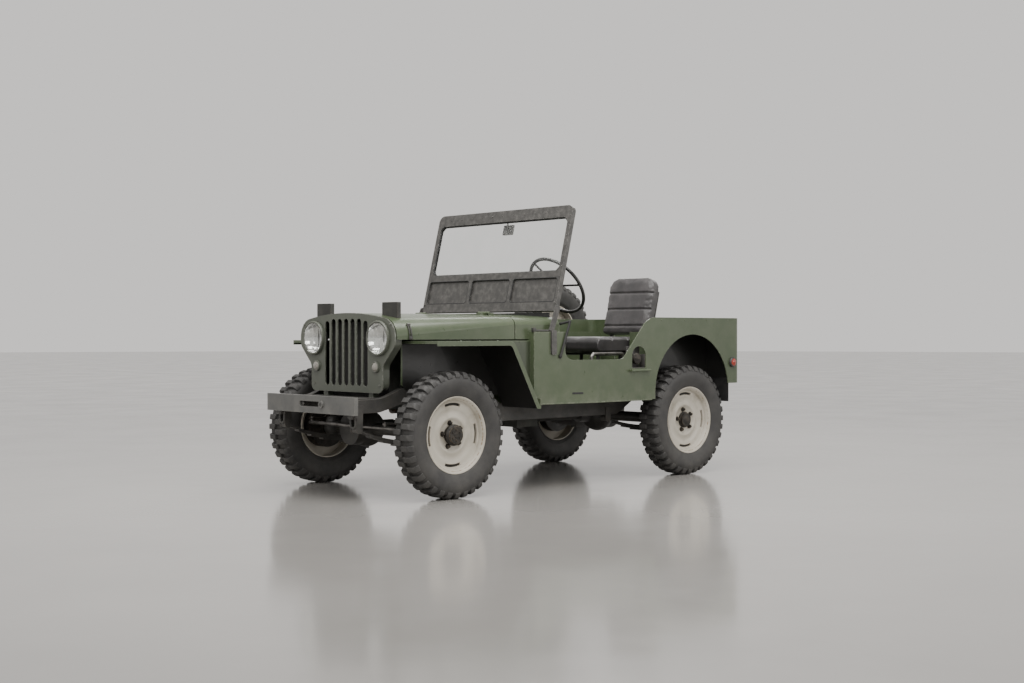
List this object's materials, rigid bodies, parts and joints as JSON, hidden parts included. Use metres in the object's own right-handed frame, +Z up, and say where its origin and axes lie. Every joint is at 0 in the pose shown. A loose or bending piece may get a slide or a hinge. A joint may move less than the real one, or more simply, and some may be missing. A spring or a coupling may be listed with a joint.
{
  "type": "open army 4x4 car",
  "caption": "Small open army 4x4 car with slotted grille, fold-down windscreen, side spare wheel and steering front axle.",
  "frame": {"origin": "on the ground under the middle of the whole car, spare wheel included", "axes": "+X to the front of the car, +Y to the driver's side, +Z up"},
  "size_m": [3.169, 1.622, 1.7212],
  "materials": {
    "body_green": "satin",
    "grille_green": "satin",
    "frame_black": "satin",
    "bumper_grey": "worn satin",
    "screen_grey": "worn satin",
    "wheel_cream": "satin",
    "hub_dark": "rough",
    "tyre_rubber": "matt",
    "engine_iron": "rough",
    "steel": "satin",
    "clear_glass": "clear",
    "lamp_glass": "clear",
    "lamp_bright": "polished",
    "marker_amber": "gloss",
    "red_lens": "gloss",
    "black_vinyl": "soft sheen",
    "black_plastic": "matt",
    "dark_wood": "painted",
    "flap_rubber": "matt",
    "rusty_steel": "rough"
  },
  "bodies": {
    "chassis": {"frame_rail_left": "frame_black", "frame_rail_right": "frame_black", "crossmembers": "frame_black", "front_bumper": "bumper_grey", "front_axle": "frame_black", "rear_axle": "frame_black", "leaf_springs": "frame_black", "steering_column": "black_plastic", "floor_pan": "body_green", "side_panel_left": "body_green", "side_panel_right": "body_green", "wheel_boxes": "body_green", "rear_panel": "body_green", "rear_flaps": "flap_rubber", "cowl": "body_green", "grille": "grille_green", "fender_left": "body_green", "fender_right": "body_green", "radiator": "frame_black", "screen_brackets": "screen_grey", "headlamps": "lamp_bright", "headlamp_glass": "lamp_glass", "marker_lamps": "marker_amber", "rear_lamps": "red_lens", "seat_frame": "frame_black", "seat_cushion": "black_vinyl", "seat_back": "black_vinyl", "fuel_tank": "frame_black", "engine_block": "engine_iron", "gearbox": "engine_iron", "propeller_shafts": "frame_black", "levers": "black_plastic", "exhaust": "rusty_steel", "spare_carrier": "body_green", "spare_tyre": "tyre_rubber", "spare_wheel": "wheel_cream"},
    "hood": {"hood": "body_green", "hood_blocks": "dark_wood"},
    "windscreen": {"windscreen_frame": "screen_grey", "windscreen_glass": "clear_glass"},
    "tailgate": {"tailgate": "body_green"},
    "knuckle_left": {"knuckle_left": "hub_dark"},
    "knuckle_right": {"knuckle_right": "hub_dark"},
    "tie_rod": {"tie_rod": "steel"},
    "bell_crank": {"bell_crank": "steel"},
    "drag_link": {"drag_link": "steel"},
    "drop_arm": {"drop_arm": "steel"},
    "steering_wheel": {"steering_wheel": "black_plastic"},
    "wheel_front_left": {"tyre_front_left": "tyre_rubber", "wheel_front_left": "wheel_cream", "hub_front_left": "hub_dark"},
    "wheel_front_right": {"tyre_front_right": "tyre_rubber", "wheel_front_right": "wheel_cream", "hub_front_right": "hub_dark"},
    "wheel_rear_left": {"tyre_rear_left": "tyre_rubber", "wheel_rear_left": "wheel_cream", "hub_rear_left": "hub_dark"},
    "wheel_rear_right": {"tyre_rear_right": "tyre_rubber", "wheel_rear_right": "wheel_cream", "hub_rear_right": "hub_dark"}
  },
  "joints": [
    {"name": "steer_left", "type": "hinge", "parent": "chassis", "child": "knuckle_left", "pos_m": [1.0455, 0.58, 0.36], "axis": [0, 0, 1], "range_deg": [-24, 24]},
    {"name": "steer_right", "type": "hinge", "parent": "chassis", "child": "knuckle_right", "pos_m": [1.0455, -0.42, 0.36], "axis": [0, 0, 1], "range_deg": [-24, 24]},
    {"name": "tie_rod_swing", "type": "hinge", "parent": "knuckle_left", "child": "tie_rod", "pos_m": [1.2055, 0.58, 0.385], "axis": [0, 0, 1], "range_deg": [-24, 24]},
    {"name": "bell_crank_turn", "type": "hinge", "parent": "chassis", "child": "bell_crank", "pos_m": [1.0455, 0.31, 0.402], "axis": [0, 0, 1], "range_deg": [-24, 24]},
    {"name": "drag_link_swing", "type": "hinge", "parent": "bell_crank", "child": "drag_link", "pos_m": [1.0455, 0.38, 0.44], "axis": [0, 0, 1], "range_deg": [-24, 24]},
    {"name": "drop_arm_swing", "type": "hinge", "parent": "chassis", "child": "drop_arm", "pos_m": [0.6675, 0.342, 0.662], "axis": [0, 1, 0], "range_deg": [-8, 8]},
    {"name": "steering_wheel_turn", "type": "hinge", "parent": "chassis", "child": "steering_wheel", "pos_m": [-0.1265, 0.38, 1.236], "axis": [-0.809, 0, 0.5878], "range_deg": [-340, 340]},
    {"name": "windscreen_fold", "type": "hinge", "parent": "chassis", "child": "windscreen", "pos_m": [0.2035, 0.08, 1.082], "axis": [0, -1, 0], "range_deg": [-98, 0]},
    {"name": "hood_open", "type": "hinge", "parent": "chassis", "child": "hood", "pos_m": [0.5025, 0.08, 1.056], "axis": [0, -1, 0], "range_deg": [0, 110]},
    {"name": "tailgate_drop", "type": "hinge", "parent": "chassis", "child": "tailgate", "pos_m": [-1.5105, 0.08, 0.649], "axis": [0, -1, 0], "range_deg": [0, 90]},
    {"name": "spin_front_left", "type": "hinge", "parent": "knuckle_left", "child": "wheel_front_left", "pos_m": [1.0455, 0.6925, 0.36], "axis": [0, 1, 0], "continuous": true},
    {"name": "spin_front_right", "type": "hinge", "parent": "knuckle_right", "child": "wheel_front_right", "pos_m": [1.0455, -0.5325, 0.36], "axis": [0, 1, 0], "continuous": true},
    {"name": "spin_rear_left", "type": "hinge", "parent": "chassis", "child": "wheel_rear_left", "pos_m": [-0.9865, 0.6925, 0.36], "axis": [0, 1, 0], "continuous": true},
    {"name": "spin_rear_right", "type": "hinge", "parent": "chassis", "child": "wheel_rear_right", "pos_m": [-0.9865, -0.5325, 0.36], "axis": [0, 1, 0], "continuous": true}
  ],
  "couplings": [
    {"joint": "steer_right", "follows": "steer_left", "ratio": 1},
    {"joint": "tie_rod_swing", "follows": "steer_left", "ratio": -1},
    {"joint": "bell_crank_turn", "follows": "steer_left", "ratio": 1},
    {"joint": "drag_link_swing", "follows": "steer_left", "ratio": -1},
    {"joint": "drop_arm_swing", "follows": "steer_left", "ratio": 0.30702},
    {"joint": "steering_wheel_turn", "follows": "steer_left", "ratio": 14}
  ]
}
